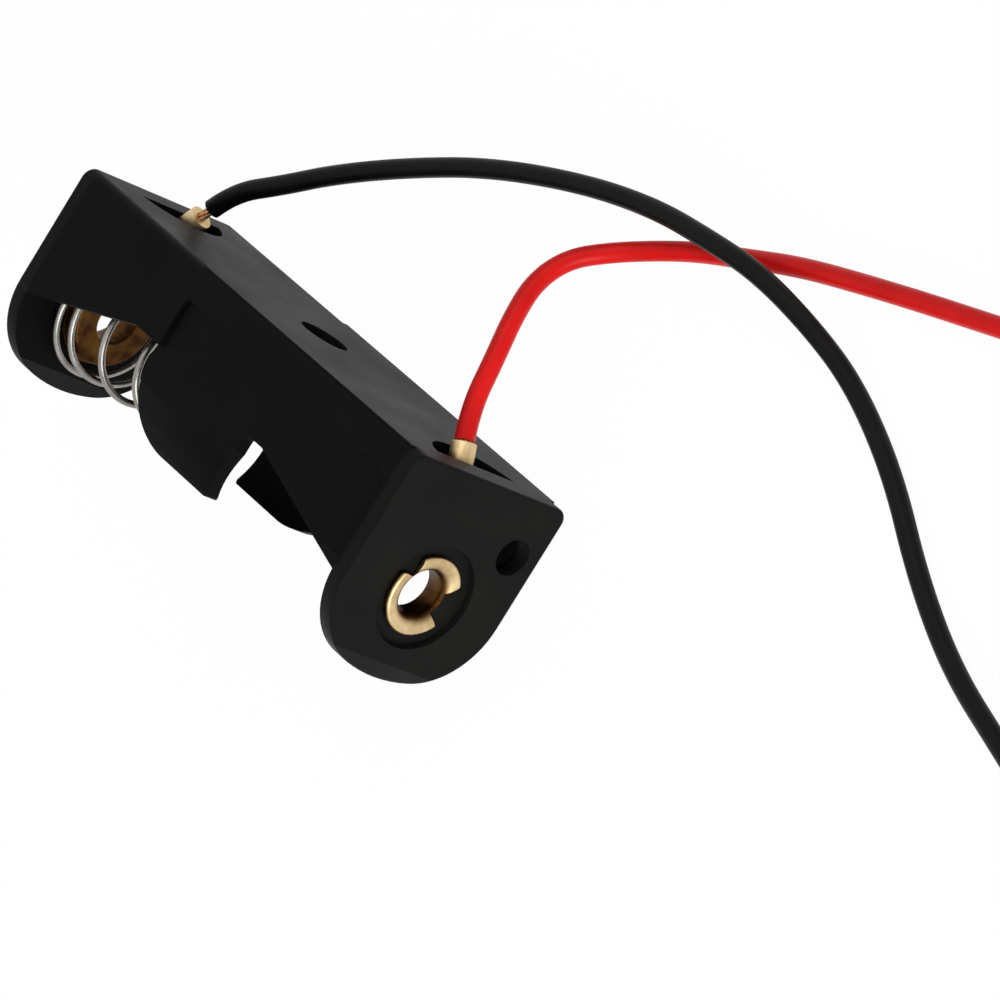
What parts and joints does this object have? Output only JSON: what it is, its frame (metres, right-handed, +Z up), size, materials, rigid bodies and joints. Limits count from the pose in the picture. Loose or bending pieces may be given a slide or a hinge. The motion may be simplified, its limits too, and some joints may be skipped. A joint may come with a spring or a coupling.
{
  "type": "battery holder",
  "caption": "Moulded holder for one small 12 V cell, with arched end plates, curved clip arms, riveted brass terminals, a contact spring and red and black leads.",
  "frame": {"origin": "middle of the holder's length and of its height out of the base, crimps included, on the surface that its long side rests on", "axes": "+X along the cell towards its positive end, +Y out of the base where the leads leave, +Z up across the holder, so that its opening faces -Y"},
  "size_m": [0.0846, 0.052, 0.0128],
  "materials": {
    "black_plastic": "fine moulded texture, satin",
    "brass": "plain rolled brass",
    "spring_steel": "nickel-plated wire",
    "red_insulation": "smooth soft insulation",
    "black_insulation": "smooth soft insulation",
    "tinned_copper": "tinned strands",
    "copper_strands": "bare copper strands",
    "tie": "plain tie"
  },
  "bodies": {
    "root": {"holder_body": "black_plastic", "positive_lug": "brass", "negative_lug": "brass", "positive_eyelet": "brass", "negative_eyelet": "brass", "contact_spring": "spring_steel", "red_crimp_strands": "copper_strands", "red_lead": "red_insulation", "red_lead_coil": "red_insulation", "red_coil_tie": "tie", "red_lead_tail": "red_insulation", "red_bare_end": "tinned_copper", "black_crimp_strands": "copper_strands", "black_lead": "black_insulation", "black_lead_coil": "black_insulation", "black_coil_tie": "tie", "black_lead_tail": "black_insulation", "black_bare_end": "tinned_copper"}
  },
  "joints": []
}
